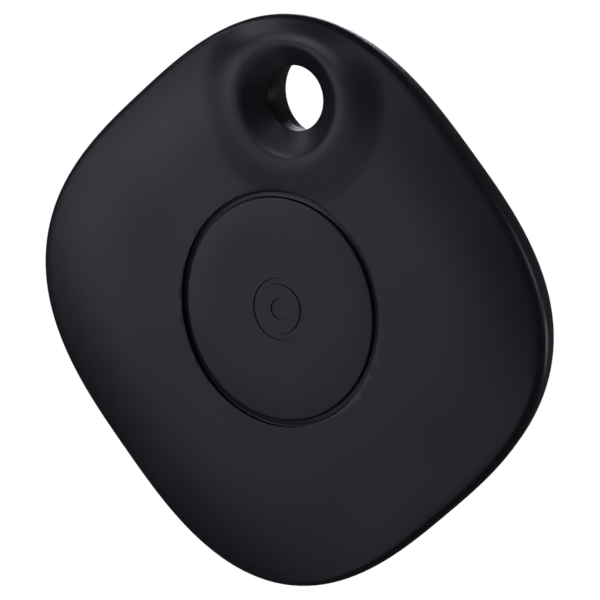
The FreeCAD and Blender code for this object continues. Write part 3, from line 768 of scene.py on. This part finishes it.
def board_material(name):
    """Solder mask over copper: tracks on a pitch, broken into runs by coarse noise, with vias."""
    material = bpy.data.materials.new(name)
    nodes, links, shader = principled(material, Coat_Weight=0.4, Coat_Roughness=0.12)
    vector, axes = object_axes(nodes, links)
    tracks = []
    for axis in ("X", "Z"):
        wave = calculate(nodes, links, "PINGPONG", axes[axis], 0.00055)
        tracks.append(calculate(nodes, links, "LESS_THAN", wave, 0.00011))
    choice = noise(nodes, links, vector, 260, 1)
    across = calculate(nodes, links, "MULTIPLY", tracks[0],
                       calculate(nodes, links, "GREATER_THAN", choice, 0.54))
    along = calculate(nodes, links, "MULTIPLY", tracks[1],
                      calculate(nodes, links, "LESS_THAN", choice, 0.45))
    copper = calculate(nodes, links, "MAXIMUM", across, along)
    dots = nodes.new("ShaderNodeTexVoronoi")
    dots.inputs["Scale"].default_value = 420
    links.new(vector, dots.inputs["Vector"])
    via = calculate(nodes, links, "LESS_THAN", dots.outputs["Distance"], 0.13)
    mask = two_tone(nodes, links, copper, (0.004, 0.045, 0.02), (0.012, 0.1, 0.04))
    gold = nodes.new("ShaderNodeMix")
    gold.data_type = "RGBA"
    gold.inputs[7].default_value = (0.75, 0.5, 0.2, 1)
    links.new(mask, gold.inputs[6])
    links.new(via, gold.inputs[0])
    links.new(gold.outputs[2], shader.inputs["Base Color"])
    links.new(calculate(nodes, links, "MULTIPLY", via, 0.9), shader.inputs["Metallic"])
    links.new(ranged(nodes, links, noise(nodes, links, vector, 900), 0.25, 0.42),
              shader.inputs["Roughness"])
    bump_from(nodes, links, shader, copper, 0.02, 0.6)
    return material


def package_material(name, body, ends, end_reach):
    """Small soldered part: matt body with fine grit, and bright tinned ends where given."""
    material = bpy.data.materials.new(name)
    nodes, links, shader = principled(material)
    vector, axes = object_axes(nodes, links)
    grit = noise(nodes, links, vector, 9000, 4)
    body_colour = two_tone(nodes, links, grit, tuple(0.75 * shade for shade in body), body)
    pitch = calculate(nodes, links, "PINGPONG", axes["X"], end_reach * MM)
    tinned = calculate(nodes, links, "LESS_THAN", pitch, 0.18 * end_reach * MM)
    mix = nodes.new("ShaderNodeMix")
    mix.data_type = "RGBA"
    mix.inputs[7].default_value = (*ends, 1)
    links.new(body_colour, mix.inputs[6])
    links.new(tinned, mix.inputs[0])
    links.new(mix.outputs[2], shader.inputs["Base Color"])
    links.new(tinned, shader.inputs["Metallic"])
    links.new(ranged(nodes, links, grit, 0.4, 0.62), shader.inputs["Roughness"])
    bump_from(nodes, links, shader, grit, 0.008)
    return material


finish_with(board_material("board"), cad("circuit_board"))
finish_with(package_material("chip_epoxy", (0.02, 0.02, 0.022), (0.03, 0.03, 0.033), 0.6),
            cad("radio_chip"), cad("sounder_driver"), cad("switch_base"))
finish_with(package_material("ceramic_part", (0.42, 0.3, 0.19), (0.7, 0.7, 0.68), 0.5),
            cad("capacitors"), cad("chip_antenna"))
finish_with(metal_material("tinned_metal", (0.55, 0.55, 0.54), (0.72, 0.72, 0.7), 0.18, 0.32),
            cad("crystals"))

# ---- Sounder ----
# Flat piezo sounder: a bright brass disc carrying a silvered white ceramic one, held in place by black
# adhesive foam tape.
finish_with(metal_material("brass_plate", (0.6, 0.42, 0.16), (0.78, 0.56, 0.24), 0.22, 0.4,
                           (7000, 400, 400)), cad("piezo_plate"))
finish_with(moulded("white_ceramic", (0.62, 0.61, 0.57), (0.74, 0.73, 0.7), 0.35, 0.5, 0.1, 0.004),
            cad("piezo_ceramic"))
finish_with(moulded("adhesive", (0.04, 0.04, 0.042), (0.085, 0.085, 0.088), 0.3, 0.45, 0.4, 0.02),
            cad("piezo_adhesive"))

# ---- Battery tray and contacts ----
# Tray moulded in dark grey plastic, which holds the cell, with gold-flashed spring strips that touch
# its two poles.
finish_with(moulded("frame_plastic", (0.01, 0.01, 0.011), (0.028, 0.028, 0.03), 0.38, 0.55, 0.12, 0.008),
            cad("inner_frame"))
finish_with(metal_material("contact_metal", (0.7, 0.6, 0.32), (0.82, 0.72, 0.43), 0.2, 0.34,
                           (400, 400, 8000)), cad("negative_contact"), cad("positive_contact"))

# ---- Frame screws ----
# Three zinc-plated steel screws with cross recesses, driven through the tray and board into the front
# shell's bosses.
SEAT_LEVEL = -2.0
HEAD_HEIGHT = 0.55
HEAD_RADIUS = 1.05
SHANK_RADIUS = 0.5
HEAD_REAR = SEAT_LEVEL - HEAD_HEIGHT
screws = []
for across, up in SCREW_PLACES:
    head = rod("screw_head", HEAD_RADIUS, HEAD_REAR, SEAT_LEVEL, across, up, 64)
    add_modifier(head, "BEVEL", width=0.16 * MM, segments=4, limit_method="ANGLE",
                 angle_limit=math.radians(50))
    for turn in (35, 125):
        bpy.ops.mesh.primitive_cube_add(
            size=MM, location=(Vector((across, -HEAD_REAR, up)) + REST) * MM,
            rotation=(0, math.radians(turn), 0), scale=(1.25, 0.6, 0.26))
        slot_cutter = bpy.context.active_object
        bpy.ops.object.transform_apply(location=True, rotation=True, scale=True)
        cut_with(head, slot_cutter)
    screws += [head, rod("screw_shank", SHANK_RADIUS, SEAT_LEVEL - 0.05, 0.2, across, up)]
frame_screws = join(*screws)
frame_screws.name = "frame_screws_skin"
smooth(frame_screws, 35)
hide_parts("frame_screws")
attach(frame_screws, "housing")
finish_with(metal_material("screw_steel", (0.42, 0.42, 0.43), (0.6, 0.6, 0.62), 0.22, 0.4,
                           (2500, 2500, 2500)), frame_screws)

# ---- Coin cell ----
# Lithium coin cell in a drawn can of nickel-plated steel, closed by a moulded grommet. It drops into
# the tray from behind.
CELL_UP = -1.8
CELL_RADIUS = 10.0
CELL_FRONT = -2.4
CELL_REAR = CELL_FRONT - 3.2
CAN_WALL = 0.25
cell_can = spun("coin_cell_can_skin", [
    (0, CELL_REAR + 0.05), (6.9, CELL_REAR + 0.05), (7.1, CELL_REAR), (CELL_RADIUS - 0.45, CELL_REAR),
    (CELL_RADIUS - 0.2, CELL_REAR + 0.07), (CELL_RADIUS - 0.05, CELL_REAR + 0.22),
    (CELL_RADIUS, CELL_REAR + 0.45), (CELL_RADIUS, CELL_FRONT - 0.55),
    (CELL_RADIUS - 0.08, CELL_FRONT - 0.38), (CELL_RADIUS - CAN_WALL, CELL_FRONT - 0.32),
    (CELL_RADIUS - CAN_WALL, CELL_REAR + CAN_WALL), (0, CELL_REAR + CAN_WALL)], CELL_UP)
smooth(cell_can, 35)
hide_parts("coin_cell_can")
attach(cell_can, "cell")
finish_with(steel_finish, cell_can, cad("coin_cell_core"))
finish_with(moulded("grommet", (0.12, 0.25, 0.165), (0.165, 0.32, 0.215), 0.4, 0.5, 0.3, 0.004),
            cad("coin_cell_seal"))

# ---- Cover seal and cell pad ----
# Black silicone splash seal in the joint between the shells, and a pad of closed-cell foam glued in
# the rear cover, which presses the cell home.
finish_with(moulded("seal_rubber", (0.03, 0.03, 0.032), (0.05, 0.05, 0.054), 0.45, 0.6, 0.2, 0.006),
            cad("cover_seal"))
finish_with(moulded("foam", (0.035, 0.035, 0.037), (0.075, 0.075, 0.08), 0.85, 0.95, 0.22, 0.12),
            cad("cell_pad"))
